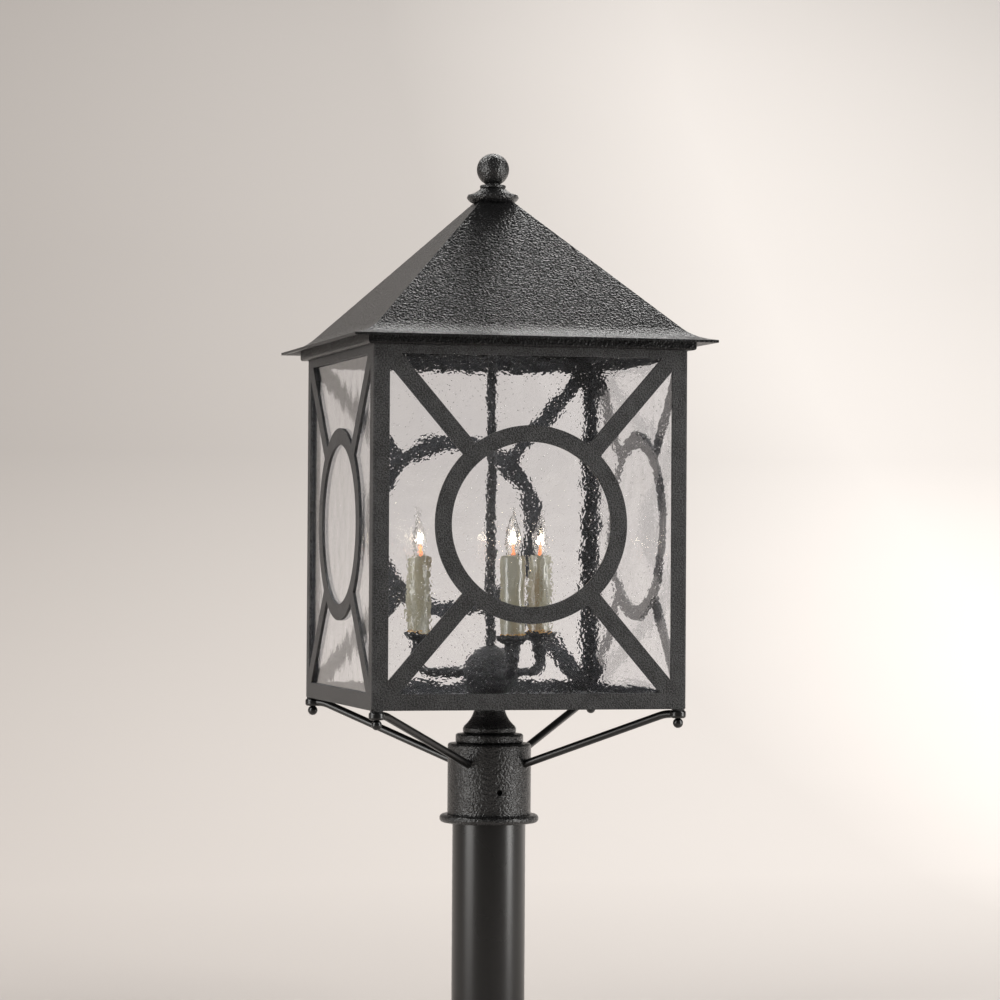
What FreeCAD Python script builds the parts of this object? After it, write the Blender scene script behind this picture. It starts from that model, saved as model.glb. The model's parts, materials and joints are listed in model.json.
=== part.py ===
import FreeCAD, Part
import math
import os

"""Post-top lantern on the upper end of a round steel post.

Frame: millimetres, +Z up, origin at the centre of the post piece's lower end, -Y the front.
The lantern's own pieces are drawn with z = 0 at the underside of its square cage, and
save() lifts them to their place on the post.  Every piece is one named solid, apart from
small identical pieces, which share a node as a group of separate solids.
"""

# ---------------------------------------------------------------- driving dimensions (mm)
LANTERN_Z = 340.0          # height of the cage's underside above the post piece's lower end

# post
POST_R = 38.1              # 3 inch post
POST_WALL = 3.2
POST_TOP = -50.6           # its upper end, inside the fitter sleeve

# cage of four cut plates
CAGE_HALF = 162.5          # half the width over the plates
CAGE_H = 370.0
PLATE_T = 3.0
STILE = 16.3               # width of a plate's border
BAR = 16.8                 # width of the ring and of the diagonals
RING_R = 99.2              # outer radius of the ring
EDGE_R = 3.0               # rounding of the cage's upright corners
CORNER_R = 5.0             # rounding of each plate's lower corners

# glass
GLASS_T = 3.0
GAP = 0.3                  # clearance between pieces laid side by side
FLOOR_T = 2.0              # bottom plate
TOP_BAR_W = 16.0           # flat bar round the top of the cage
TOP_BAR_T = 4.0
GUSSET_LEG = 24.0
GUSSET_T = 2.7
CLIP_W = 12.0
CLIP_T = 1.2
CLIP_LEG = 9.0
CLIP_AT = 70.0             # clips stand this far each side of a pane's middle

# roof
SLOPE = 0.981              # fall per mm outward
EAVES_OUT = 4.3            # slope and brim would meet this far out from the cage
BRIM_OUT = 24.6            # overhang of the brim
BRIM_RISE = 1.8            # top of the brim's edge above the cage
BRIM_SLOPE = 0.2
FLARE_TANGENT = 13.6       # length of each tangent of the flare's arc
ROOF_T = 2.5
ROOF_CUT = 17.5            # flat top below the point where the slopes would meet
SKIRT_OUT = 6.9            # skirt's outer face beyond the cage
SKIRT_DROP = 7.8           # skirt's lower edge below the cage's head
SKIRT_GAP = 0.6            # skirt to cage
SKIRT_ROUND = 2.6
SEAT_W = 13.0              # flat ring that rests on the cage
SEAT_T = 2.0

# finial
CAP_R = 27.2
CAP_H = 15.0
KNOB_RING_R = 13.5
KNOB_RING_H = 3.5
KNOB_NECK_R = 7.8
BALL_R = 16.9
BALL_RISE = 20.1           # ball's centre above the cap

# threaded pipe through the middle, and its fastenings
PIPE_R = 5.15
PIPE_BORE_R = 3.5
POCKET_R = 14.0            # recess under the sleeve's roof for the pipe's washer and nut
POCKET_DEEP = 5.6
PIPE_REACH = 9.0           # pipe's end above the cap
PIPE_FIT = 0.05            # radial clearance of the knob on the pipe
PIPE_CLEAR = 0.45          # radial clearance of every other hole round the pipe
WASHER_R = 13.0
WASHER_T = 1.6
NUT_AF = 17.0
NUT_H = 3.6
LOCKNUT_H = 4.0

# fitter: neck, two steps, sleeve and collar
NECK_R = 15.2
NECK_FLARE_R = 31.0
NECK_LOW = -24.3
STEP1_R = 27.7
STEP1_LOW = -31.9
STEP2_R = 35.3
STEP2_LOW = -41.8
SLEEVE_WALL = 5.0
SLEEVE_LOW = -115.6
SLEEVE_FIT = 0.4           # radial clearance on the post
STEP_ROUND = 2.6
COLLAR_OUT = 8.2           # collar beyond the sleeve
COLLAR_H = 8.6
SCREW_Z = -91.1
SCREW_R = 3.0
SCREW_SOCKET_R = 1.5
SCREW_DEEP = 1.6           # how far the screw's outer end lies below the sleeve's surface

# braces
BRACE_R = 4.0
BRACE_Z = -62.0            # where a brace meets the sleeve
BRACE_LEVEL = 14.6         # length of its level end
BRACE_BEND_R = 40.0
BOLT_IN = 6.5              # bolt axis, in from the cage's faces
BOLT_R = 2.0
BOLT_FIT = 0.05
PAD_R = 8.0
PAD_H = 8.0
PAD_ROUND = 2.6
FOOT_WASHER_R = 6.5
FOOT_WASHER_T = 1.2
NUT_BALL_R = 5.2
NUT_BALL_DROP = 4.8        # ball's centre below the brace pad

# lamp cluster
HUB_Z = 31.0
HUB_R = 28.2
HUB_WALL = 3.0
ARM_ORBIT = 77.0
ARM_R = 5.5
ARM_BORE_R = 3.2
ARM_BEND_R = 13.0
ARM_ANGLES = {"front": -87.5, "right": 32.5, "left": 152.5}
CUP_LOW = 46.0
CUP_R = 12.5
PAN_Z = 66.0
PAN_R = 17.5
PAN_RISE = 6.5
PAN_T = 1.2
CANDLE_R = 13.0
CANDLE_WALL = 1.5
CANDLE_HIGH = 153.5
SOCKET_R = 10.6
SOCKET_LOW = 112.0
SOCKET_STEM_R = 4.5
BULB_CAP_R = 5.9
BULB_CAP_H = 20.0
BULB_FIT = 0.4
BULB_R = 8.2
BULB_NECK_R = 5.6
BULB_TIP = 204.5
BULB_WALL = 0.8

# ---------------------------------------------------------------- worked-out sizes
BRIM_HALF = CAGE_HALF + BRIM_OUT
BRIM_Z = CAGE_H + BRIM_RISE
APEX_Z = BRIM_Z + BRIM_SLOPE * (BRIM_OUT - EAVES_OUT) + SLOPE * (CAGE_HALF + EAVES_OUT)
ROOF_TOP_Z = APEX_Z - ROOF_CUT
SKIRT_HALF = CAGE_HALF + SKIRT_OUT
SKIRT_Z = CAGE_H - SKIRT_DROP
CAP_TOP = ROOF_TOP_Z + CAP_H
BALL_Z = CAP_TOP + BALL_RISE
PIPE_HIGH = CAP_TOP + PIPE_REACH
SLEEVE_R = POST_R + SLEEVE_FIT + SLEEVE_WALL
COLLAR_R = SLEEVE_R + COLLAR_OUT
BOLT_AT = CAGE_HALF - BOLT_IN
BRACE_BEND_RADIAL = BOLT_AT * math.sqrt(2) - BRACE_LEVEL
INNER_HALF = CAGE_HALF - PLATE_T               # inside face of the plates
OPEN_HALF = CAGE_HALF - STILE                  # half width of a plate's opening
PANE_OUT = INNER_HALF - GAP                    # outer face of a pane
PANE_IN = PANE_OUT - GLASS_T
PANE_LOW = GAP + GUSSET_T + GAP
PANE_HIGH = CAGE_H - TOP_BAR_T - GAP
FLOOR_TOP = GAP + FLOOR_T
SKIRT_IN = CAGE_HALF + SKIRT_GAP
PAD_TOP = -FOOT_WASHER_T - 0.2                 # upper face of a brace's pad
PAD_LOW = PAD_TOP - PAD_H
PIPE_HOLE_R = PIPE_R + PIPE_CLEAR
SLEEVE_ROOF = POST_TOP + GAP                   # underside of the sleeve's roof
POCKET_TOP = SLEEVE_ROOF + POCKET_DEEP
ORIGIN = FreeCAD.Vector(0, 0, 0)
UP = FreeCAD.Vector(0, 0, 1)
ACROSS = FreeCAD.Vector(0, 1, 0)
QUARTERS = (0, 90, 180, 270)


# ---------------------------------------------------------------- helpers
def vec(x, y, z):
    return FreeCAD.Vector(x, y, z)


def box(low, high):
    """A block between two corners."""
    size = [high[i] - low[i] for i in range(3)]
    return Part.makeBox(size[0], size[1], size[2], vec(*low))


def rod(radius, low, high, x=0.0, y=0.0):
    """An upright round bar from height low to height high."""
    return Part.makeCylinder(radius, high - low, vec(x, y, low))


def ring(outer, inner, low, high, x=0.0, y=0.0):
    return rod(outer, low, high, x, y).cut(rod(inner, low - 1, high + 1, x, y))


def edge_line(a, b):
    return Part.LineSegment(vec(a[0], 0, a[1]), vec(b[0], 0, b[1])).toShape()


def edge_arc(a, middle, b):
    points = [vec(p[0], 0, p[1]) for p in (a, middle, b)]
    return Part.Arc(*points).toShape()


def turned(edges):
    """A solid of revolution about Z from edges in the XZ plane."""
    face = Part.Face(Part.Wire(edges))
    return face.revolve(ORIGIN, UP, 360)


def turned_outline(points):
    """A solid of revolution from straight lines through (radius, height) points."""
    closed = list(points) + [points[0]]
    return turned([edge_line(a, b) for a, b in zip(closed, closed[1:])])


def rounded_disc(radius, bore, low, high, rounding):
    """A flat ring whose outer edges are rounded."""
    r = rounding
    k = r * (1 - math.sqrt(0.5))
    edges = [
        edge_line((bore, low), (radius - r, low)),
        edge_arc((radius - r, low), (radius - k, low + k), (radius, low + r)),
        edge_line((radius, low + r), (radius, high - r)),
        edge_arc((radius, high - r), (radius - k, high - k), (radius - r, high)),
        edge_line((radius - r, high), (bore, high)),
        edge_line((bore, high), (bore, low)),
    ]
    return turned(edges)


def square_ring(outer, inner, low, high):
    solid = box((-outer, -outer, low), (outer, outer, high))
    return solid.cut(box((-inner, -inner, low - 1), (inner, inner, high + 1)))


def turn(shape, degrees):
    """A copy turned about the lantern's axis."""
    moved = shape.copy()
    moved.rotate(ORIGIN, UP, degrees)
    return moved


def around(shape, angles=QUARTERS):
    """A group of copies turned about the lantern's axis."""
    return Part.makeCompound([turn(shape, angle) for angle in angles])


def hexagon(across_flats, bore, low, high):
    radius = across_flats / math.sqrt(3)
    corners = [vec(radius * math.cos(math.radians(60 * i)), radius * math.sin(math.radians(60 * i)), low)
               for i in range(7)]
    prism = Part.Face(Part.makePolygon(corners)).extrude(vec(0, 0, high - low))
    return prism.cut(rod(bore, low - 1, high + 1))


def swept(path_edges, start, direction, radius):
    """A round bar of one radius along a path of lines and arcs."""
    circle = Part.Wire(Part.makeCircle(radius, start, direction))
    return Part.Wire(path_edges).makePipeShell([circle], True, False)


def bend_path(start, corner, end, radius):
    """Line, tangent arc and line in the XZ plane through (x, z) points."""
    a = vec(start[0], 0, start[1])
    c = vec(corner[0], 0, corner[1])
    b = vec(end[0], 0, end[1])
    to_a = (a - c).normalize()
    to_b = (b - c).normalize()
    half = to_a.getAngle(to_b) / 2
    reach = radius / math.tan(half)
    first = c + to_a * reach
    last = c + to_b * reach
    bisector = (to_a + to_b).normalize()
    middle = c + bisector * (radius / math.sin(half) - radius)
    return [Part.LineSegment(a, first).toShape(), Part.Arc(first, middle, last).toShape(),
            Part.LineSegment(last, b).toShape()]


def save(name, shape, lift=LANTERN_Z):
    """Write one node, lifted to its place on the post."""
    placed = shape.copy()
    placed.translate(vec(0, 0, lift))
    placed.exportStep("parts/" + name + ".step")


# ---------------------------------------------------------------- post
def post_tube():
    return ring(POST_R, POST_R - POST_WALL, -LANTERN_Z, POST_TOP)


# ---------------------------------------------------------------- fitter
def fitter_neck():
    """Concave flare under the cage."""
    reach = math.sqrt(NECK_FLARE_R ** 2 - NECK_LOW ** 2)
    low_r = NECK_R + NECK_FLARE_R - reach
    mid_z = NECK_LOW / 2
    mid_r = NECK_R + NECK_FLARE_R - math.sqrt(NECK_FLARE_R ** 2 - mid_z ** 2)
    edges = [
        edge_line((PIPE_HOLE_R, 0), (NECK_R, 0)),
        edge_arc((NECK_R, 0), (mid_r, mid_z), (low_r, NECK_LOW)),
        edge_line((low_r, NECK_LOW), (PIPE_HOLE_R, NECK_LOW)),
        edge_line((PIPE_HOLE_R, NECK_LOW), (PIPE_HOLE_R, 0)),
    ]
    return turned(edges)


def fitter_sleeve():
    """Round cup that drops over the post, with tapped holes for the set screws."""
    bore = POST_R + SLEEVE_FIT
    body = rounded_disc(SLEEVE_R, PIPE_HOLE_R, SLEEVE_LOW - STEP_ROUND, STEP2_LOW, STEP_ROUND)
    body = body.common(rod(SLEEVE_R + 1, SLEEVE_LOW, STEP2_LOW + 1))
    body = body.cut(rod(bore, SLEEVE_LOW - 1, SLEEVE_ROOF))
    body = body.cut(rod(POCKET_R, SLEEVE_ROOF - 1, POCKET_TOP))
    hole = Part.makeCylinder(SCREW_R + BOLT_FIT, SLEEVE_R, vec(0, 0, SCREW_Z), vec(0, -1, 0))
    for angle in (0, 120, 240):
        body = body.cut(turn(hole, angle))
    return body


def set_screws():
    """Socket set screws, backed off just clear of the post."""
    inner = POST_R + SLEEVE_FIT
    length = SLEEVE_R - SCREW_DEEP - inner
    screw = Part.makeCylinder(SCREW_R, length, vec(0, -inner, SCREW_Z), vec(0, -1, 0))
    socket = Part.makeCylinder(SCREW_SOCKET_R, length / 2, vec(0, -inner - length / 2, SCREW_Z), vec(0, -1, 0))
    return around(screw.cut(socket), (0, 120, 240))


def fitter_collar():
    """Half-round ring at the sleeve's mouth."""
    low = SLEEVE_LOW - COLLAR_H
    return rounded_disc(COLLAR_R, POST_R + SLEEVE_FIT, low, SLEEVE_LOW, COLLAR_H / 2 - 0.2)


# ---------------------------------------------------------------- cage
def cage_plate():
    """Front plate: border, ring and four diagonals cut from one sheet."""
    out = -CAGE_HALF
    inside = -INNER_HALF
    middle = CAGE_H / 2
    sheet = box((-CAGE_HALF, out, 0), (CAGE_HALF, inside, CAGE_H))
    opening = box((-OPEN_HALF, out - 1, STILE), (OPEN_HALF, inside + 1, CAGE_H - STILE))
    frame = sheet.cut(opening)
    disc = Part.makeCylinder(RING_R, PLATE_T, vec(0, out, middle), ACROSS)
    pattern = disc
    steep = math.degrees(math.atan2(middle - STILE, OPEN_HALF))
    reach = 2 * CAGE_H
    for angle in (steep, -steep):
        bar = box((-reach / 2, out, middle - BAR / 2), (reach / 2, inside, middle + BAR / 2))
        bar.rotate(vec(0, 0, middle), ACROSS, angle)
        pattern = pattern.fuse(bar)
    pattern = pattern.common(opening)
    hole = Part.makeCylinder(RING_R - BAR, PLATE_T + 2, vec(0, out - 1, middle), ACROSS)
    plate = frame.fuse(pattern).removeSplitter().cut(hole)
    return plate.common(mitre()).common(soft_corners()).removeSplitter()


def mitre():
    """Plan of one plate: 45 degree ends and rounded upright corners."""
    far = CAGE_HALF
    triangle = [vec(0, 0, -1), vec(-far - 1, -far - 1, -1), vec(far + 1, -far - 1, -1), vec(0, 0, -1)]
    wedge = Part.Face(Part.makePolygon(triangle)).extrude(vec(0, 0, CAGE_H + 2))
    block = box((-far, -far, -1), (far, far, CAGE_H + 1))
    upright = [e for e in block.Edges if abs(e.tangentAt(e.FirstParameter).z) > 0.9]
    return wedge.common(block.makeFillet(EDGE_R, upright))


def soft_corners():
    """Elevation of one plate with its two lower corners rounded."""
    block = box((-CAGE_HALF, -CAGE_HALF - 1, 0), (CAGE_HALF, 0, CAGE_H))
    low = [e for e in block.Edges
           if abs(e.tangentAt(e.FirstParameter).y) > 0.9 and e.CenterOfMass.z < CAGE_H / 2]
    return block.makeFillet(CORNER_R, low)


def glass_pane():
    return box((-PANE_IN + GAP, -PANE_OUT, PANE_LOW), (PANE_IN - GAP, -PANE_IN, PANE_HIGH))


def glass_clips():
    """Bent tabs behind each pane, on the bottom plate and under the top bar."""
    back = -PANE_IN + GAP
    tabs = []
    for x in (-CLIP_AT, CLIP_AT):
        left = x - CLIP_W / 2
        right = x + CLIP_W / 2
        lower = box((left, back, FLOOR_TOP), (right, back + CLIP_T, FLOOR_TOP + CLIP_LEG))
        foot = box((left, back, FLOOR_TOP), (right, back + CLIP_LEG, FLOOR_TOP + CLIP_T))
        tabs.append(lower.fuse(foot).removeSplitter())
        under = CAGE_H - TOP_BAR_T
        upper = box((left, back, under - CLIP_LEG), (right, back + CLIP_T, under))
        head = box((left, back, under - CLIP_T), (right, back + CLIP_LEG, under))
        tabs.append(upper.fuse(head).removeSplitter())
    return Part.makeCompound([turn(tab, angle) for angle in QUARTERS for tab in tabs])


def top_frame():
    return square_ring(INNER_HALF - GAP, INNER_HALF - GAP - TOP_BAR_W, CAGE_H - TOP_BAR_T, CAGE_H)


def corner_triangle(leg, low, high):
    """Right-angled plate in the front right corner of the cage."""
    far = INNER_HALF - GAP
    corners = [vec(far, -far, low), vec(far, -far + leg, low), vec(far - leg, -far, low), vec(far, -far, low)]
    return Part.Face(Part.makePolygon(corners)).extrude(vec(0, 0, high - low))


def bottom_plate():
    far = INNER_HALF - GAP
    plate = box((-far, -far, GAP), (far, far, FLOOR_TOP))
    plate = plate.cut(rod(PIPE_HOLE_R, -1, FLOOR_TOP + 1))
    for angle in QUARTERS:
        plate = plate.cut(turn(corner_triangle(GUSSET_LEG + GAP, -1, FLOOR_TOP + 1), angle))
    return plate


def corner_gussets():
    """Tapped corner plates that take the brace bolts."""
    gusset = corner_triangle(GUSSET_LEG, GAP, GAP + GUSSET_T)
    gusset = gusset.cut(rod(BOLT_R + BOLT_FIT, -1, PANE_LOW, BOLT_AT, -BOLT_AT))
    return around(gusset)


# ---------------------------------------------------------------- braces
def brace():
    """Round bar from the sleeve to the cage's front right corner, with a flat bored pad."""
    level = PAD_LOW + PAD_H / 2
    bolt_radial = BOLT_AT * math.sqrt(2)
    inner = (SLEEVE_R + BRACE_BEND_RADIAL) / 2
    fall = (level - BRACE_Z) / (BRACE_BEND_RADIAL - SLEEVE_R)
    start = (SLEEVE_R - 6, BRACE_Z - 6 * fall)
    corner = (BRACE_BEND_RADIAL, level)
    end = (bolt_radial - 1, level)
    path = bend_path(start, corner, end, min(BRACE_BEND_R, inner))
    along = vec(corner[0] - start[0], 0, corner[1] - start[1]).normalize()
    bar = swept(path, vec(start[0], 0, start[1]), along, BRACE_R)
    pad = rounded_disc(PAD_R, 0.001, PAD_LOW, PAD_TOP, PAD_ROUND)
    pad = pad.fuse(rod(1.0, PAD_LOW, PAD_TOP))
    pad.translate(vec(bolt_radial, 0, 0))
    bar = bar.common(box((0, -PAD_R, BRACE_Z * 2), (bolt_radial, PAD_R, PAD_TOP)))
    bar = bar.fuse(pad)
    bar = bar.cut(rod(BOLT_R + BOLT_FIT, PAD_LOW - 1, PAD_TOP + 1, bolt_radial))
    bar = bar.cut(rod(SLEEVE_R + BOLT_FIT, SLEEVE_LOW, STEP2_LOW))
    return turn(bar, -45)


def foot_washers():
    washer = ring(FOOT_WASHER_R, BOLT_R + BOLT_FIT, PAD_TOP, PAD_TOP + FOOT_WASHER_T, BOLT_AT, -BOLT_AT)
    return around(washer)


def ball_nuts():
    centre = vec(BOLT_AT, -BOLT_AT, PAD_LOW - NUT_BALL_DROP)
    ball = Part.makeSphere(NUT_BALL_R, centre)
    ball = ball.common(rod(NUT_BALL_R + 1, centre.z - NUT_BALL_R - 1, PAD_LOW, BOLT_AT, -BOLT_AT))
    ball = ball.cut(rod(BOLT_R + BOLT_FIT, centre.z - BOLT_R, PAD_LOW + 1, BOLT_AT, -BOLT_AT))
    return around(ball)


def brace_studs():
    low = PAD_LOW - NUT_BALL_DROP - BOLT_R + BOLT_FIT
    return around(rod(BOLT_R, low, GAP + GUSSET_T, BOLT_AT, -BOLT_AT))


# ---------------------------------------------------------------- pipe and fastenings
def centre_pipe():
    """Threaded pipe from the sleeve's roof to the finial, drilled for the arms' wires."""
    pipe = ring(PIPE_R, PIPE_BORE_R, SLEEVE_ROOF, PIPE_HIGH)
    for angle in ARM_ANGLES.values():
        hole = Part.makeCylinder(PIPE_BORE_R / 2, PIPE_R + 1, vec(0, 0, HUB_Z), vec(1, 0, 0))
        pipe = pipe.cut(turn(hole, angle))
    return pipe


def pipe_washer():
    return ring(WASHER_R, PIPE_HOLE_R, POCKET_TOP - WASHER_T, POCKET_TOP)


def pipe_nut():
    top = POCKET_TOP - WASHER_T
    return hexagon(NUT_AF, PIPE_R + PIPE_FIT, top - NUT_H, top)


def hub_locknut():
    low = FLOOR_TOP + HUB_WALL
    return hexagon(NUT_AF, PIPE_R + PIPE_FIT, low, low + LOCKNUT_H)


# ---------------------------------------------------------------- lamp cluster
def hub_half(upper):
    """Half of the hollow ball, bored for the pipe and notched for the arms."""
    centre = vec(0, 0, HUB_Z)
    shell = Part.makeSphere(HUB_R, centre).cut(Part.makeSphere(HUB_R - HUB_WALL, centre))
    seat_r = NUT_AF / math.sqrt(3) + 1
    shell = shell.fuse(rod(seat_r + 1, FLOOR_TOP, FLOOR_TOP + HUB_WALL))
    shell = shell.cut(rod(seat_r, FLOOR_TOP + HUB_WALL, HUB_Z))
    shell = shell.cut(rod(HUB_R, FLOOR_TOP - HUB_R, FLOOR_TOP))
    shell = shell.cut(rod(PIPE_HOLE_R, -HUB_R, HUB_Z + HUB_R + 1))
    low = HUB_Z + GAP / 3 if upper else FLOOR_TOP - 1
    high = HUB_Z + HUB_R + 1 if upper else HUB_Z - GAP / 3
    shell = shell.common(rod(HUB_R + 1, low, high))
    for angle in ARM_ANGLES.values():
        notch = Part.makeCylinder(ARM_R + BOLT_FIT, HUB_R + 2, vec(0, 0, HUB_Z), vec(1, 0, 0))
        shell = shell.cut(turn(notch, angle))
    return shell


def arm(angle):
    """Tube from the hub, level and then up to the candle cup."""
    start = (HUB_R - HUB_WALL - 2, HUB_Z)
    corner = (ARM_ORBIT, HUB_Z)
    end = (ARM_ORBIT, CUP_LOW)
    path = bend_path(start, corner, end, ARM_BEND_R)
    begin = vec(start[0], 0, start[1])
    tube = swept(path, begin, vec(1, 0, 0), ARM_R)
    tube = tube.cut(swept(path, begin, vec(1, 0, 0), ARM_BORE_R))
    return turn(tube, angle)


def at_arm(shape, angle):
    """A piece drawn on the axis, moved to the end of one arm."""
    moved = shape.copy()
    moved.translate(vec(ARM_ORBIT, 0, 0))
    return turn(moved, angle)


def candle_cup():
    """Turned cup between the arm and the drip pan."""
    outline = [(ARM_BORE_R, CUP_LOW), (ARM_R + 1.1, CUP_LOW), (ARM_R + 2.3, PAN_Z - 5),
               (CUP_R, PAN_Z - 2), (CUP_R, PAN_Z), (ARM_BORE_R, PAN_Z)]
    return turned_outline(outline)


def drip_pan():
    """Shallow dish with a curled-up rim."""
    hole = SOCKET_STEM_R + GAP
    flat = CANDLE_R + 0.5
    outer = [(hole, PAN_Z), (flat, PAN_Z), (PAN_R - 1, PAN_Z + 2.5), (PAN_R, PAN_Z + PAN_RISE)]
    inner = [(PAN_R - PAN_T, PAN_Z + PAN_RISE), (PAN_R - PAN_T - 0.8, PAN_Z + 3.3),
             (flat - 0.4, PAN_Z + PAN_T), (hole, PAN_Z + PAN_T)]
    return turned_outline(outer + inner)


def candle_sleeve():
    return ring(CANDLE_R, CANDLE_R - CANDLE_WALL, PAN_Z + PAN_T, CANDLE_HIGH)


def socket():
    """Lamp socket on a threaded stem that stands in the candle cup."""
    bore = BULB_CAP_R + BULB_FIT
    high = CANDLE_HIGH - 1.0
    body = rod(SOCKET_R, SOCKET_LOW, high).cut(rod(bore, high - BULB_CAP_H - 2 * GAP, high + 1))
    stem = rod(SOCKET_STEM_R, PAN_Z, SOCKET_LOW)
    return body.fuse(stem).removeSplitter()


def bulb_cap():
    """Screw cap of the bulb, in the socket."""
    high = CANDLE_HIGH - 1.0
    tip = rod(BULB_CAP_R / 2, high - BULB_CAP_H, high - BULB_CAP_H + 2)
    shell = rod(BULB_CAP_R, high - BULB_CAP_H + 2, high)
    return shell.fuse(tip)


def bulb_profile(shrink):
    """Flame outline: swelling above the neck and drawn out to a thin tip."""
    low = CANDLE_HIGH - 1.0 + shrink
    tip = BULB_TIP - 3 * shrink
    swell = low + 0.36 * (BULB_TIP - low)
    points = [vec(BULB_NECK_R - shrink, 0, low), vec(BULB_NECK_R + 0.6 - shrink, 0, low + 3),
              vec(BULB_R - shrink, 0, swell), vec(BULB_R * 0.62 - shrink, 0, low + 0.62 * (BULB_TIP - low)),
              vec(max(1.3 - shrink, 0.3), 0, tip - 4)]
    curve = Part.BSplineCurve()
    curve.interpolate(points)
    top = points[-1]
    return [edge_line((0, low), (points[0].x, low)), curve.toShape(),
            edge_line((top.x, top.z), (0, tip)), edge_line((0, tip), (0, low))]


def bulb_glass():
    return turned(bulb_profile(0.0)).cut(turned(bulb_profile(BULB_WALL)))


def bulb_filament():
    """Glass stem with two lead wires and the filament bridge between them."""
    low = CANDLE_HIGH - 1.0 + 2 * BULB_WALL
    stem_top = low + 12.0
    wire_top = low + 24.0
    spread = 2.4
    piece = rod(1.8, low, stem_top)
    for side in (-1, 1):
        piece = piece.fuse(rod(0.35, stem_top - 1, wire_top, side * 1.2))
    bridge = Part.makeCylinder(0.45, 2 * spread, vec(-spread, 0, wire_top), vec(1, 0, 0))
    return piece.fuse(bridge)


# ---------------------------------------------------------------- roof
def slope_points(offset):
    """Points of the roof's side profile, moved down square to itself by offset."""
    steep = math.atan(SLOPE)
    flat = math.atan(BRIM_SLOPE)
    apex = APEX_Z - offset / math.cos(steep)
    brim = BRIM_Z - offset / math.cos(flat)
    meet = (apex - brim - BRIM_SLOPE * BRIM_HALF) / (SLOPE - BRIM_SLOPE)
    meet_z = apex - SLOPE * meet
    reach = FLARE_TANGENT
    upper = (meet - reach * math.cos(steep), meet_z + reach * math.sin(steep))
    lower = (meet + reach * math.cos(flat), meet_z - reach * math.sin(flat))
    half_turn = (steep - flat) / 2
    radius = reach / math.tan(half_turn)
    rise = radius / math.cos(half_turn) - radius
    lean = (steep + flat) / 2
    middle = (meet + rise * math.sin(lean), meet_z + rise * math.cos(lean))
    return apex, upper, middle, lower, (BRIM_HALF, brim)


def pyramid(offset, floor):
    """Square-plan solid under the roof's profile, down to a flat floor."""
    apex, upper, middle, lower, tip = slope_points(offset)

    def mirrored(point):
        return (-point[0], point[1])

    edges = [
        edge_line((0, apex), upper),
        edge_arc(upper, middle, lower),
        edge_line(lower, tip),
        edge_line(tip, (BRIM_HALF, floor)),
        edge_line((BRIM_HALF, floor), (-BRIM_HALF, floor)),
        edge_line((-BRIM_HALF, floor), mirrored(tip)),
        edge_line(mirrored(tip), mirrored(lower)),
        edge_arc(mirrored(lower), mirrored(middle), mirrored(upper)),
        edge_line(mirrored(upper), (0, apex)),
    ]
    face = Part.Face(Part.Wire(edges))
    slab = face.extrude(vec(0, 2 * BRIM_HALF, 0))
    slab.translate(vec(0, -BRIM_HALF, 0))
    return slab.common(turn(slab, 90))


def roof_shell():
    """Four slopes with a flared brim, open below, flat and bored at the top."""
    floor = SKIRT_Z - 20
    shell = pyramid(0.0, floor).cut(pyramid(ROOF_T, floor - 1))
    lid = pyramid(0.0, floor).common(box((-CAP_R, -CAP_R, ROOF_TOP_Z - ROOF_T), (CAP_R, CAP_R, ROOF_TOP_Z)))
    shell = shell.common(box((-BRIM_HALF, -BRIM_HALF, floor), (BRIM_HALF, BRIM_HALF, ROOF_TOP_Z)))
    shell = shell.fuse(lid).removeSplitter()
    return shell.cut(rod(PIPE_HOLE_R, ROOF_TOP_Z - 20, ROOF_TOP_Z + 1))


def roof_skirt():
    """Square band under the brim, round the head of the cage."""
    band = box((-SKIRT_HALF, -SKIRT_HALF, SKIRT_Z), (SKIRT_HALF, SKIRT_HALF, CAGE_H + 15))
    outer_low = [e for e in band.Edges if abs(e.CenterOfMass.z - SKIRT_Z) < 0.01]
    band = band.makeFillet(SKIRT_ROUND, outer_low)
    band = band.cut(box((-SKIRT_IN, -SKIRT_IN, SKIRT_Z - 1), (SKIRT_IN, SKIRT_IN, CAGE_H + 16)))
    return band.common(pyramid(ROOF_T + 0.02, SKIRT_Z - 5))


def roof_seat():
    """Flat ring inside the roof that rests on the cage."""
    low = CAGE_H + GAP
    return square_ring(SKIRT_IN - 0.02, SKIRT_IN - SEAT_W, low, low + SEAT_T)


# ---------------------------------------------------------------- finial
def finial_cap():
    """Flared disc between the roof's top and the knob."""
    rim_top = ROOF_TOP_Z + 8.2
    edges = [
        edge_line((PIPE_HOLE_R, ROOF_TOP_Z), (21.0, ROOF_TOP_Z)),
        edge_arc((21.0, ROOF_TOP_Z), (25.3, ROOF_TOP_Z + 2.6), (CAP_R, ROOF_TOP_Z + 5.6)),
        edge_line((CAP_R, ROOF_TOP_Z + 5.6), (CAP_R - 1.2, rim_top)),
        edge_arc((CAP_R - 1.2, rim_top), (18.6, ROOF_TOP_Z + 11.0), (KNOB_RING_R - 0.5, CAP_TOP)),
        edge_line((KNOB_RING_R - 0.5, CAP_TOP), (PIPE_HOLE_R, CAP_TOP)),
        edge_line((PIPE_HOLE_R, CAP_TOP), (PIPE_HOLE_R, ROOF_TOP_Z)),
    ]
    return turned(edges)


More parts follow.
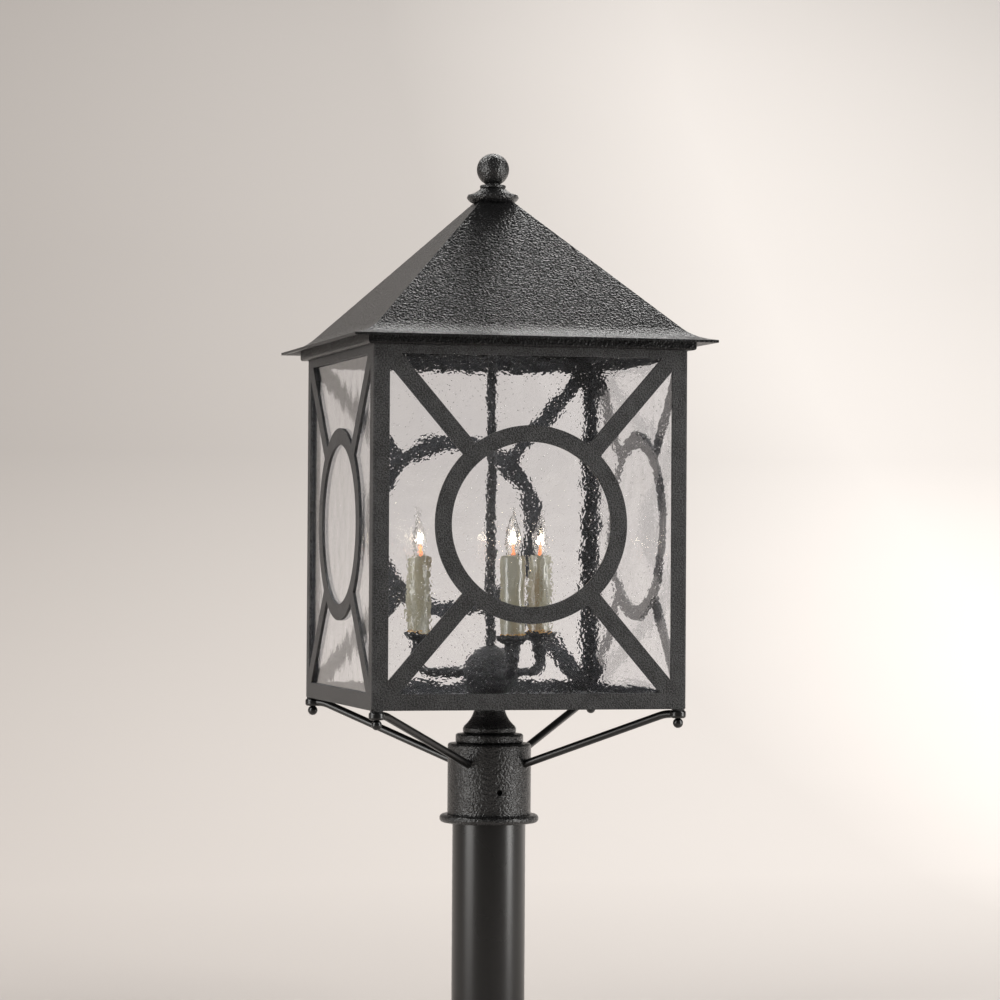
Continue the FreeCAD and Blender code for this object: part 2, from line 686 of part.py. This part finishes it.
def finial_knob():
    """Ball on a ring, screwed on the pipe's end."""
    low = CAP_TOP + GAP
    foot = rounded_disc(KNOB_RING_R, PIPE_R + PIPE_FIT, low, low + KNOB_RING_H, 1.2)
    neck = rod(KNOB_NECK_R, low, BALL_Z)
    ball = Part.makeSphere(BALL_R, vec(0, 0, BALL_Z))
    ball = ball.common(rod(BALL_R + 1, low + KNOB_RING_H - 0.4, BALL_Z + BALL_R + 1))
    knob = foot.fuse(neck).fuse(ball)
    return knob.cut(rod(PIPE_R + PIPE_FIT, low - 1, PIPE_HIGH + 2))


# ---------------------------------------------------------------- write the nodes
def main():
    os.makedirs("parts", exist_ok=True)
    save("post_tube", post_tube())
    save("fitter_neck", fitter_neck())
    bore = PIPE_HOLE_R
    save("fitter_upper_step", rounded_disc(STEP1_R, bore, STEP1_LOW, NECK_LOW, STEP_ROUND))
    save("fitter_lower_step", rounded_disc(STEP2_R, bore, STEP2_LOW, STEP1_LOW, STEP_ROUND))
    save("fitter_sleeve", fitter_sleeve())
    save("fitter_collar", fitter_collar())
    save("set_screws", set_screws())

    sides = {"front": 0, "right": 90, "back": 180, "left": 270}
    plate = cage_plate()
    pane = glass_pane()
    for side, angle in sides.items():
        save("plate_" + side, turn(plate, angle))
        save("glass_" + side, turn(pane, angle))
    save("glass_clips", glass_clips())
    save("top_frame", top_frame())
    save("bottom_plate", bottom_plate())
    save("corner_gussets", corner_gussets())

    front_right = brace()
    corners = {"front_right": 0, "back_right": 90, "back_left": 180, "front_left": 270}
    for corner, angle in corners.items():
        save("brace_" + corner, turn(front_right, angle))
    save("foot_washers", foot_washers())
    save("ball_nuts", ball_nuts())
    save("brace_studs", brace_studs())

    save("centre_pipe", centre_pipe())
    save("pipe_washer", pipe_washer())
    save("pipe_nut", pipe_nut())
    save("hub_locknut", hub_locknut())
    save("hub_lower", hub_half(False))
    save("hub_upper", hub_half(True))

    lamp_pieces = {"drip_pan": drip_pan(), "candle_sleeve": candle_sleeve(), "socket": socket(),
                   "bulb_cap": bulb_cap(), "bulb_glass": bulb_glass(), "bulb_filament": bulb_filament()}
    cup = candle_cup()
    for place, angle in ARM_ANGLES.items():
        save("arm_" + place, arm(angle))
        for name, shape in lamp_pieces.items():
            save(name + "_" + place, at_arm(shape, angle))
    save("candle_cups", Part.makeCompound([at_arm(cup, angle) for angle in ARM_ANGLES.values()]))

    save("roof_shell", roof_shell())
    save("roof_skirt", roof_skirt())
    save("roof_seat", roof_seat())
    save("finial_cap", finial_cap())
    save("finial_knob", finial_knob())


main()
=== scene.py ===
"""Post-top lantern: finishes, candles, filaments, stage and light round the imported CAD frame."""
import json
import math

import bpy
from mathutils import Matrix, Vector, noise


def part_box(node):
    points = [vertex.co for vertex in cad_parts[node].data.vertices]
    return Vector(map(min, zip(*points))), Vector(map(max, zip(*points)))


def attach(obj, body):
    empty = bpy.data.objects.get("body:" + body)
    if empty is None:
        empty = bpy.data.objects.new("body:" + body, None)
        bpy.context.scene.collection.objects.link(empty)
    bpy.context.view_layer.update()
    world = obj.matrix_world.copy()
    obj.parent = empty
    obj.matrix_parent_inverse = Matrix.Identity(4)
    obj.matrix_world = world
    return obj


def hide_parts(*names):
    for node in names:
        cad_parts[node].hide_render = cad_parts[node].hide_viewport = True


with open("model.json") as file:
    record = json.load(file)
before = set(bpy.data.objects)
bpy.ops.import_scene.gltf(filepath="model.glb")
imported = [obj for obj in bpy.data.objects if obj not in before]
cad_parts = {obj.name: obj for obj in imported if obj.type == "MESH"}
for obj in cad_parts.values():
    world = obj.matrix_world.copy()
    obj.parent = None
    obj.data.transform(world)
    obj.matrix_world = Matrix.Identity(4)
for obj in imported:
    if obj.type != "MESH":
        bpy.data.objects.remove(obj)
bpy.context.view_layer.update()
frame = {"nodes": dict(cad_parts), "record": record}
NODES = frame["nodes"]
LAMPS = ("front", "right", "left")
MM = 0.001

# ---------------------------------------------------------------- places read from the frame
CAGE_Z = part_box("plate_front")[0].z
PANE_LOW, PANE_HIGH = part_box("glass_front")
PANE_MIDDLE = -(PANE_LOW.y + PANE_HIGH.y) / 2     # from the axis to the middle of a pane
BULB_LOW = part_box("bulb_glass_front")[0].z
CANDLE_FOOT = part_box("drip_pan_front")[1].z      # where a candle shows above its pan

COAT_EASE = 0.0009       # how far the paint rounds a hard edge
SIDE_CALM = 0.7          # share of the liveliness that the left and right panes lose


# ---------------------------------------------------------------- node helpers
class Shader:
    """A material with one Principled shader and short calls for the nodes behind it."""

    def __init__(self, name):
        self.material = bpy.data.materials.new(name)
        self.material.use_nodes = True
        self.tree = self.material.node_tree
        self.tree.nodes.clear()
        self.output = self.add("ShaderNodeOutputMaterial")
        self.surface = self.add("ShaderNodeBsdfPrincipled")
        self.join(self.surface.outputs[0], self.output.inputs[0])
        self.place = self.add("ShaderNodeTexCoord").outputs["Object"]

    def add(self, kind, **settings):
        node = self.tree.nodes.new(kind)
        for key, value in settings.items():
            setattr(node, key, value)
        return node

    def join(self, source, target):
        self.tree.links.new(source, target)

    def set(self, **values):
        for key, value in values.items():
            self.surface.inputs[key.replace("_", " ")].default_value = value

    def stretched(self, scale):
        node = self.add("ShaderNodeMapping")
        self.join(self.place, node.inputs["Vector"])
        node.inputs["Scale"].default_value = scale
        return node.outputs[0]

    def noise(self, scale, detail=3.0, rough=0.5, place=None):
        node = self.add("ShaderNodeTexNoise")
        self.join(place or self.place, node.inputs["Vector"])
        node.inputs["Scale"].default_value = scale
        node.inputs["Detail"].default_value = detail
        node.inputs["Roughness"].default_value = rough
        return node.outputs["Fac"]

    def cells(self, scale, feature="SMOOTH_F1", place=None):
        node = self.add("ShaderNodeTexVoronoi", feature=feature)
        self.join(place or self.place, node.inputs["Vector"])
        node.inputs["Scale"].default_value = scale
        return node.outputs["Distance"]

    def spread(self, value, low, high, start=0.0, end=1.0):
        node = self.add("ShaderNodeMapRange")
        self.join(value, node.inputs["Value"])
        limits = {"From Min": start, "From Max": end, "To Min": low, "To Max": high}
        for key, number in limits.items():
            node.inputs[key].default_value = number
        return node.outputs[0]

    def ramp(self, value, stops):
        node = self.add("ShaderNodeValToRGB")
        self.join(value, node.inputs[0])
        elements = node.color_ramp.elements
        while len(elements) < len(stops):
            elements.new(0.5)
        for element, (at, colour) in zip(elements, stops):
            element.position = at
            element.color = (*colour, 1)
        return node.outputs[0]

    def shades(self, value, start, dark, end, light):
        """Colour that runs from dark at start to light at end."""
        self.colour(self.ramp(value, [(start, dark), (end, light)]))

    def axes(self):
        """The x, y and z of each point."""
        node = self.add("ShaderNodeSeparateXYZ")
        self.join(self.place, node.inputs[0])
        return node.outputs

    def math(self, operation, a, b=0):
        node = self.add("ShaderNodeMath", operation=operation)
        for socket, value in zip(node.inputs, (a, b)):
            if isinstance(value, (int, float)):
                socket.default_value = value
            else:
                self.join(value, socket)
        return node.outputs[0]

    def bump(self, height, distance, strength=1.0, onto=None):
        node = self.add("ShaderNodeBump")
        self.join(height, node.inputs["Height"])
        node.inputs["Distance"].default_value = distance
        node.inputs["Strength"].default_value = strength
        if onto is not None:
            self.join(onto, node.inputs["Normal"])
        return node.outputs[0]

    def eased(self, radius):
        """Normal with hard edges softened, as a coat of paint does."""
        node = self.add("ShaderNodeBevel")
        node.samples = 4
        node.inputs["Radius"].default_value = radius
        return node.outputs[0]

    def colour(self, socket):
        self.join(socket, self.surface.inputs["Base Color"])

    def roughness(self, socket):
        self.join(socket, self.surface.inputs["Roughness"])

    def normal(self, socket):
        self.join(socket, self.surface.inputs["Normal"])

    def clear_for_lamps(self, tint):
        """Lets lamp light through to what stands behind the glass."""
        path = self.add("ShaderNodeLightPath")
        through = self.add("ShaderNodeBsdfTransparent")
        through.inputs[0].default_value = (*tint, 1)
        mix = self.add("ShaderNodeMixShader")
        self.join(path.outputs["Is Shadow Ray"], mix.inputs[0])
        self.join(self.surface.outputs[0], mix.inputs[1])
        self.join(through.outputs[0], mix.inputs[2])
        self.join(mix.outputs[0], self.output.inputs[0])


# ---------------------------------------------------------------- materials
def sanded_iron():
    """Flat plates and bars: matt black powder coat with a fine sandy grain."""
    s = Shader("sanded_iron")
    grain = s.noise(640.0, 2.0, 0.65)
    patch = s.noise(60.0, 3.0)
    tone = s.math("ADD", s.math("MULTIPLY", grain, 0.8), s.math("MULTIPLY", patch, 0.2))
    s.shades(tone, 0.43, (0.006, 0.006, 0.0062), 0.57, (0.062, 0.062, 0.063))
    s.roughness(s.spread(grain, 0.30, 0.52, 0.40, 0.60))
    s.set(Specular_IOR_Level=0.45)
    s.normal(s.bump(grain, 0.0016, 1.0, onto=s.eased(COAT_EASE)))
    return s.material


def hammered_iron(name, gloss):
    """Black coat over a pebbled surface: glossier on the castings than on the sheet roof."""
    s = Shader(name)
    tone = s.noise(14.0, 4.0)
    s.shades(tone, 0.3, (0.007, 0.007, 0.0073), 0.7, (0.012, 0.012, 0.0123))
    warp = s.noise(430.0, 1.0, 0.45, s.stretched((1.0, 1.0, 1.3)))
    dents = s.math("ADD", s.math("MULTIPLY", s.cells(460.0), 0.75), warp)
    grit = s.noise(1000.0, 1.0)
    s.roughness(s.spread(grit, 0.24, 0.36, 0.40, 0.60))
    s.set(Specular_IOR_Level=gloss)
    first = s.bump(dents, 0.0011, 0.8, onto=s.eased(COAT_EASE))
    s.normal(s.bump(grit, 0.0004, 0.6, onto=first))
    return s.material


def post_paint():
    """Smooth satin black paint with faint orange peel."""
    s = Shader("post_paint")
    tone = s.noise(6.0, 3.0)
    s.shades(tone, 0.35, (0.0012, 0.0012, 0.0012), 0.65, (0.0022, 0.0022, 0.0022))
    peel = s.noise(420.0, 1.0)
    s.roughness(s.spread(tone, 0.26, 0.31, 0.3, 0.7))
    s.set(Specular_IOR_Level=0.75)
    s.normal(s.bump(peel, 0.00006, 0.25))
    return s.material


def seeded_glass():
    """Clear glass: flat inside, with slow waves, a lively skin and small bubbles outside."""
    s = Shader("seeded_glass")
    s.set(Transmission_Weight=1.0, IOR=1.45, Roughness=0.0, Specular_IOR_Level=0.15)
    haze = s.noise(30.0, 2.0)
    s.shades(haze, 0.3, (0.972, 0.977, 0.995), 0.7, (0.984, 0.988, 1.0))
    x, y, _ = s.axes()
    sideways_out = s.math("ABSOLUTE", x)
    out = s.math("MAXIMUM", sideways_out, s.math("ABSOLUTE", y))
    outside = s.math("GREATER_THAN", out, PANE_MIDDLE)
    sideways = s.math("GREATER_THAN", sideways_out, PANE_MIDDLE)
    liveliness = s.math("SUBTRACT", outside, s.math("MULTIPLY", sideways, SIDE_CALM))
    waves = s.math("MULTIPLY", s.noise(48.0, 0.0), liveliness)
    lively = s.math("MULTIPLY", s.noise(300.0, 1.0, 0.5), liveliness)
    bubble = s.spread(s.cells(290.0, "F1"), 1.0, 0.0, 0.04, 0.16)
    seeds = s.math("MULTIPLY", bubble, liveliness)
    first = s.bump(waves, 0.0006)
    second = s.bump(lively, 0.00013, onto=first)
    s.normal(s.bump(seeds, 0.00030, onto=second))
    s.clear_for_lamps((0.90, 0.91, 0.93))
    return s.material


def bulb_glass():
    """Clear envelope of a lit bulb, hazed in its lower half."""
    s = Shader("bulb_glass")
    s.set(Transmission_Weight=1.0, IOR=1.45)
    s.shades(s.noise(60.0), 0.3, (0.97, 0.96, 0.94), 0.7, (1.0, 0.99, 0.97))
    height = s.axes()[2]
    s.roughness(s.spread(height, 0.22, 0.0, BULB_LOW + 4 * MM, BULB_LOW + 30 * MM))
    s.clear_for_lamps((0.97, 0.96, 0.95))
    return s.material


def glow(name, warm, strength):
    """Emitted light, uneven along its length: the filament's own light, and a painted glow on the
    stem and leads.
    """
    s = Shader(name)
    s.set(Roughness=0.5, Emission_Strength=strength)
    patches = s.noise(160.0, 2.0)
    shade = s.ramp(patches, [(0.35, warm), (0.65, tuple(min(1.0, c * 1.25) for c in warm))])
    s.colour(shade)
    s.join(shade, s.surface.inputs["Emission Color"])
    return s.material


def candle_resin():
    """Glossy aged resin, olive to taupe, with a painted amber glow at its foot."""
    s = Shader("candle_resin")
    runs = s.noise(75.0, 3.0, 0.5, s.stretched((1.0, 1.0, 0.12)))
    base = s.ramp(runs, [(0.36, (0.290, 0.220, 0.128)), (0.50, (0.320, 0.290, 0.200)),
                         (0.64, (0.390, 0.370, 0.290))])
    height = s.axes()[2]
    # painted glow: an amber band of light at the candle's foot, where the pan's lit rim shows
    foot = s.spread(height, 1.0, 0.0, CANDLE_FOOT + 0.9 * MM, CANDLE_FOOT + 1.5 * MM)
    mix = s.add("ShaderNodeMix", data_type="RGBA")
    s.join(foot, mix.inputs[0])
    s.join(base, mix.inputs[6])
    mix.inputs[7].default_value = (0.56, 0.30, 0.08, 1)      # amber
    s.colour(mix.outputs[2])
    s.roughness(s.spread(runs, 0.16, 0.10, 0.35, 0.65))
    s.set(Specular_IOR_Level=1.0)
    ripple = s.noise(150.0, 2.0, 0.5, s.stretched((1.0, 1.0, 0.3)))
    s.normal(s.bump(ripple, 0.00015, 0.4))
    return s.material


def metal(name, dark, light, rough):
    """Bare metal with fine scratches."""
    s = Shader(name)
    s.set(Metallic=1.0)
    tone = s.noise(180.0, 3.0, 0.6, s.stretched((1.0, 1.0, 4.0)))
    s.shades(tone, 0.3, dark, 0.7, light)
    s.roughness(s.spread(tone, rough - 0.06, rough + 0.08, 0.3, 0.7))
    return s.material


def phenolic():
    """Dark brown moulded lamp sockets."""
    s = Shader("phenolic")
    s.shades(s.noise(50.0), 0.3, (0.025, 0.020, 0.016), 0.7, (0.045, 0.036, 0.030))
    s.set(Roughness=0.45)
    s.normal(s.bump(s.noise(500.0), 0.0001, 0.3))
    return s.material


def oxide():
    """Dull black oxide of the set screws, down in their holes."""
    s = Shader("oxide")
    s.shades(s.noise(900.0, 2.0), 0.4, (0.0006, 0.0006, 0.0006), 0.6, (0.0016, 0.0016, 0.0016))
    s.set(Roughness=0.75, Specular_IOR_Level=0.1)
    return s.material


MATERIALS = {
    "black_iron": sanded_iron(),
    "hammered_iron": hammered_iron("hammered_iron", 0.8),
    "post_paint": post_paint(),
    "seeded_glass": seeded_glass(),
    "bulb_glass": bulb_glass(),
    "candle_resin": candle_resin(),
    "brass": metal("brass", (0.55, 0.40, 0.16), (0.75, 0.58, 0.28), 0.28),
    "filament": glow("filament", (1.0, 0.78, 0.60), 34.0),
    # painted glow: red light given off by the glass stem and the leads, which are no lamp
    "painted_glow": glow("painted_glow", (0.85, 0.25, 0.10), 1.0),
    "socket_phenolic": phenolic(),
    "zinc_steel": metal("zinc_steel", (0.42, 0.42, 0.43), (0.62, 0.62, 0.63), 0.35),
}


SHEET = hammered_iron("hammered_sheet", 0.3)     # the roof is duller than the cast fitter
OWN_FINISH = {"set_screws": oxide(), "roof_shell": SHEET, "roof_skirt": SHEET}


# ---------------------------------------------------------------- pieces
def place_piece(name, verts, faces, material, body, *nodes):
    """A mesh piece that rides on a body and stands for the CAD nodes named."""
    mesh = bpy.data.meshes.new(name)
    mesh.from_pydata(verts, [], faces)
    mesh.shade_smooth()
    mesh.materials.append(material)
    obj = bpy.data.objects.new(name, mesh)
    bpy.context.scene.collection.objects.link(obj)
    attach(obj, body)
    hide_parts(*nodes)


def walls(rings, around):
    """Faces between neighbouring rings of vertices."""
    faces = []
    for i in range(rings - 1):
        for j in range(around):
            k = (j + 1) % around
            low, high = i * around, (i + 1) * around
            faces.append((low + j, low + k, high + k, high + j))
    return faces


def tube(points, radii, around=12):
    """Vertices and faces of a round wire through points, closed at both ends."""
    verts = []
    for i, point in enumerate(points):
        ahead = points[min(i + 1, len(points) - 1)] - points[max(i - 1, 0)]
        turn = ahead.to_track_quat("Z", "Y")
        for j in range(around):
            angle = 2 * math.pi * j / around
            offset = turn @ Vector((math.cos(angle), math.sin(angle), 0)) * radii[i]
            verts.append(point + offset)
    faces = walls(len(points), around)
    faces.append(tuple(reversed(range(around))))
    faces.append(tuple(range((len(points) - 1) * around, len(points) * around)))
    return verts, faces


def joined(parts):
    """Several meshes as one list of vertices and one of faces."""
    verts, faces = [], []
    for v, f in parts:
        base = len(verts)
        verts += v
        faces += [tuple(base + i for i in face) for face in f]
    return verts, faces


STEM_SHARES = (0.0, 0.12, 0.34, 0.44)      # heights up the stem, as shares of the filament's
STEM_RADII = (2.3 * MM, 1.9 * MM, 1.3 * MM, 0.5 * MM)
LEAD_RADIUS = 0.3 * MM
LEAD_FOOT = 0.5 * MM            # how far a lead starts from the axis, and how far it spreads
LEAD_SPREAD = 2.2 * MM
LEAD_START = 0.42               # shares of the filament's height, as above
LEAD_KNEE = 0.60
COIL_START = 0.52
COIL_RISE = 0.40
COIL_RADIUS = 1.1 * MM
COIL_SPREAD = 2.3 * MM
COIL_SWAY = 0.35 * MM
COIL_SWAYS = 9
COIL_STEPS = 28


def filaments():
    """Glowing coil on two leads over a glass stem, inside each bulb; the stem and leads carry a
    painted glow.
    """
    for lamp in LAMPS:
        node = "bulb_filament_" + lamp
        low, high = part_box(node)
        foot = Vector(((low.x + high.x) / 2, (low.y + high.y) / 2, low.z))
        across = Vector((1, 0, 0))
        up = Vector((0, 0, 1))
        rise = high.z - low.z
        stem = tube([foot + up * rise * share for share in STEM_SHARES], STEM_RADII)
        leads = []
        for side in (-1, 1):
            start = foot + up * rise * LEAD_START + across * side * LEAD_FOOT
            knee = foot + up * rise * LEAD_KNEE + across * side * LEAD_SPREAD
            leads.append(tube([start, knee, knee + up * rise * 0.12], [LEAD_RADIUS] * 3, 8))
        arch = []
        for i in range(COIL_STEPS + 1):
            t = i / COIL_STEPS
            swing = math.cos(math.pi * t)
            lift = math.sin(math.pi * t)
            sway = COIL_SWAY * math.sin(2 * math.pi * COIL_SWAYS * t)
            arch.append(foot + across * (COIL_SPREAD * swing) + Vector((0, sway, 0))
                        + up * (rise * COIL_START + rise * COIL_RISE * lift))
        coil = tube(arch, [COIL_RADIUS] * len(arch))
        # the stem and leads take the painted glow; only the coil is the bulb's lamp
        pieces = (("stem", stem, "painted_glow"),
                  ("leads", joined(leads), "painted_glow"),
                  ("coil", coil, "filament"))
        for part, shape, finish in pieces:
            name = "filament_" + part + "_" + lamp
            place_piece(name, *shape, MATERIALS[finish], "bulb_" + lamp, node)


def lathe(profile, around, centre, wobble):
    """Turned about an upright axis, with wobble(angle, height) added to the radius."""
    verts = []
    for radius, z in profile:
        for j in range(around):
            angle = 2 * math.pi * j / around
            r = radius + wobble(angle, z)
            verts.append((centre.x + r * math.cos(angle), centre.y + r * math.sin(angle), z))
    return verts, walls(len(profile), around)


CANDLE_RINGS = 60
CANDLE_AROUND = 72
CANDLE_INSET = 0.15 * MM        # the wall's mean surface inside the CAD cover's
BEAD_RISE = 0.6 * MM            # the bead at the foot: its height, swell and half-width
BEAD_SWELL = 0.9 * MM
BEAD_WIDTH = 0.8 * MM
LIP_DEPTH = 1.2 * MM            # the melted lip: how far down it starts, how far it draws in
LIP_DRAW = 0.5 * MM
WALL = 2.0 * MM


def candles():
    """Resin candle covers: faint flutes and sags, a beaded foot and a softly melted lip."""
    for number, lamp in enumerate(LAMPS):
        node = "candle_sleeve_" + lamp
        low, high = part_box(node)
        centre = (low + high) / 2
        radius = (high.x - low.x) / 2
        tall = high.z - low.z
        bead = CANDLE_FOOT + BEAD_RISE
        profile = []
        for i in range(CANDLE_RINGS + 1):
            z = low.z + tall * i / CANDLE_RINGS
            swell = BEAD_SWELL * math.exp(-((z - bead) / BEAD_WIDTH) ** 2)
            lip = LIP_DRAW * max(0.0, (z - high.z + LIP_DEPTH) / LIP_DEPTH) ** 2
            profile.append((radius + swell - lip - CANDLE_INSET, z))
        for step in (0.4, 1.0, 1.4):
            sink = LIP_DRAW * step * (1.4 - step)
            profile.append((radius - 0.6 * MM - step * MM, high.z - sink))
        profile.append((radius - WALL, low.z))

        def wobble(angle, z, seed=17.0 * number):
            across, along = math.cos(angle), math.sin(angle)
            flute = noise.noise(Vector((across * 2.2, along * 2.2, z * 9 + seed)))
            sag = noise.noise(Vector((across * 1.1, along * 1.1, z * 60 + seed)))
            return (0.28 * flute + 0.18 * sag) * MM

        verts, faces = lathe(profile, CANDLE_AROUND, centre, wobble)
        place_piece("candle_" + lamp, verts, faces, MATERIALS["candle_resin"], "lantern", node)


def dress_cad():
    """Every CAD node takes the material of its record slot, or its own finish."""
    for entry in frame["record"]["subparts"]:
        mesh = NODES[entry["node"]].data
        mesh.materials.clear()
        mesh.materials.append(OWN_FINISH.get(entry["node"], MATERIALS[entry["material_slot"]]))


dress_cad()
filaments()
candles()


# ---------------------------------------------------------------- stage, light and camera
def stage_material():
    """Warm pale backdrop with painted light and shade: darker on the left and up its curve,
    lighter on the right and higher up.
    """
    s = Shader("backdrop")
    x, y, _ = s.axes()
    # painted light and shade across the backdrop: darker to the left, lighter to the right
    painted_light_across = s.math("ADD", s.spread(x, 0.0, 1.0, -1.3, 1.7),
                   s.spread(s.noise(0.8), -0.03, 0.03))
    tint = s.ramp(painted_light_across, [(0.0, (0.594, 0.547, 0.514)), (0.3, (0.548, 0.509, 0.480)),
                         (0.75, (0.641, 0.604, 0.577)), (1.0, (0.930, 0.885, 0.850))])
    # painted shade up the curve, and painted light higher up it
    near = s.spread(y, 1.0, 0.54, 1.2, 3.3)
    far = s.spread(y, 1.0, 1.08, 4.0, 4.7)
    painted_light_by_depth = s.math("MULTIPLY", near, far)
    shade = s.add("ShaderNodeMix", data_type="RGBA", blend_type="MULTIPLY")
    shade.inputs[0].default_value = 1.0
    s.join(tint, shade.inputs[6])
    s.join(painted_light_by_depth, shade.inputs[7])
    s.colour(shade.outputs[2])
    s.set(Roughness=0.95, Specular_IOR_Level=0.1)
    return s.material


def backdrop():
    """Floor that sweeps up into a wall."""
    width, near, far, sweep, height = 10.0, -8.0, 6.2, 5.6, 9.0
    bends = 40
    profile = [(near, 0.0), (far - sweep, 0.0)]
    for i in range(1, bends + 1):
        turn = math.pi / 2 * i / bends
        profile.append((far - sweep + sweep * math.sin(turn), sweep - sweep * math.cos(turn)))
    profile.append((far, height))
    verts = [(x, y, z) for y, z in profile for x in (-width, width)]
    faces = [(2 * i, 2 * i + 1, 2 * i + 3, 2 * i + 2) for i in range(len(profile) - 1)]
    mesh = bpy.data.meshes.new("backdrop")
    mesh.from_pydata(verts, [], faces)
    mesh.shade_smooth()
    mesh.materials.append(stage_material())
    obj = bpy.data.objects.new("backdrop", mesh)
    bpy.context.scene.collection.objects.link(obj)


LAMP_WHITE = (1.0, 0.985, 0.965)
CAGE_MIDDLE = Vector((0, 0, CAGE_Z + 0.18))


def softbox(name, direction, height, distance, size, power, aim=CAGE_MIDDLE):
    """An area lamp in watts and metres; direction is degrees round from the front."""
    turn = math.radians(direction)
    spot = Vector((math.sin(turn) * distance, -math.cos(turn) * distance, height))
    lamp = bpy.data.lights.new(name, "AREA")
    lamp.shape = "RECTANGLE"
    lamp.size, lamp.size_y = size
    lamp.energy = power
    lamp.color = LAMP_WHITE
    obj = bpy.data.objects.new(name, lamp)
    obj.location = spot
    obj.rotation_euler = (aim - spot).to_track_quat("-Z", "Y").to_euler()
    bpy.context.scene.collection.objects.link(obj)


def lights():
    """Faint even fill, a tall box on each side, one over the roof and two washes for the wall."""
    world = bpy.data.worlds.new("world")
    world.use_nodes = True
    shade = world.node_tree.nodes["Background"]
    shade.inputs["Color"].default_value = (1.0, 0.98, 0.96, 1)
    shade.inputs["Strength"].default_value = 0.11
    bpy.context.scene.world = world
    softbox("left_box", CAMERA_TURN - 63, height=0.8, distance=1.8, size=(0.9, 2.4), power=29)
    softbox("right_box", CAMERA_TURN + 69, height=0.8, distance=1.6, size=(0.5, 2.2), power=25)
    softbox("top_box", 175, height=2.8, distance=2.2, size=(2.0, 1.0), power=4.5)
    softbox("wall_left", -150, height=3.6, distance=2.6, size=(2.4, 1.2), power=80,
            aim=Vector((-0.6, 3.4, 0.2)))
    softbox("wall_right", 140, height=3.6, distance=2.6, size=(2.4, 1.2), power=164,
            aim=Vector((2.4, 3.4, 0.0)))


CAMERA_TURN = -14.676          # degrees round from the front, to the left
CAMERA_DISTANCE = 3.490
CAMERA_HEIGHT = 0.1568         # above the cage's underside
CAMERA_FOCAL = 120.28          # mm on the sensor below
CAMERA_SENSOR = 36.0
CAMERA_AIM = (-0.156, 0.901, -0.355)   # pan, tilt and roll in degrees


def camera():
    """Stands a little left of the front, with a small pan, tilt and roll."""
    turn = math.radians(CAMERA_TURN)
    back = Vector((math.sin(turn), -math.cos(turn), 0))
    right = Vector((math.cos(turn), math.sin(turn), 0))
    up = Vector((0, 0, 1))
    pan, tilt, roll = (math.radians(a) for a in CAMERA_AIM)
    forward = Matrix.Rotation(pan, 3, up) @ -back
    right = Matrix.Rotation(pan, 3, up) @ right
    tilting = Matrix.Rotation(tilt, 3, right)
    forward, up = tilting @ forward, tilting @ up
    rolling = Matrix.Rotation(roll, 3, forward)
    right, up = rolling @ right, rolling @ up
    data = bpy.data.cameras.new("camera")
    data.sensor_width = CAMERA_SENSOR
    data.lens = CAMERA_FOCAL
    obj = bpy.data.objects.new("camera", data)
    basis = Matrix((right, up, -forward)).transposed().to_4x4()
    spot = back * CAMERA_DISTANCE + Vector((0, 0, CAGE_Z + CAMERA_HEIGHT))
    obj.matrix_world = Matrix.Translation(spot) @ basis
    bpy.context.scene.collection.objects.link(obj)
    bpy.context.scene.camera = obj


backdrop()
camera()
lights()
bpy.context.scene.view_settings.view_transform = "Standard"
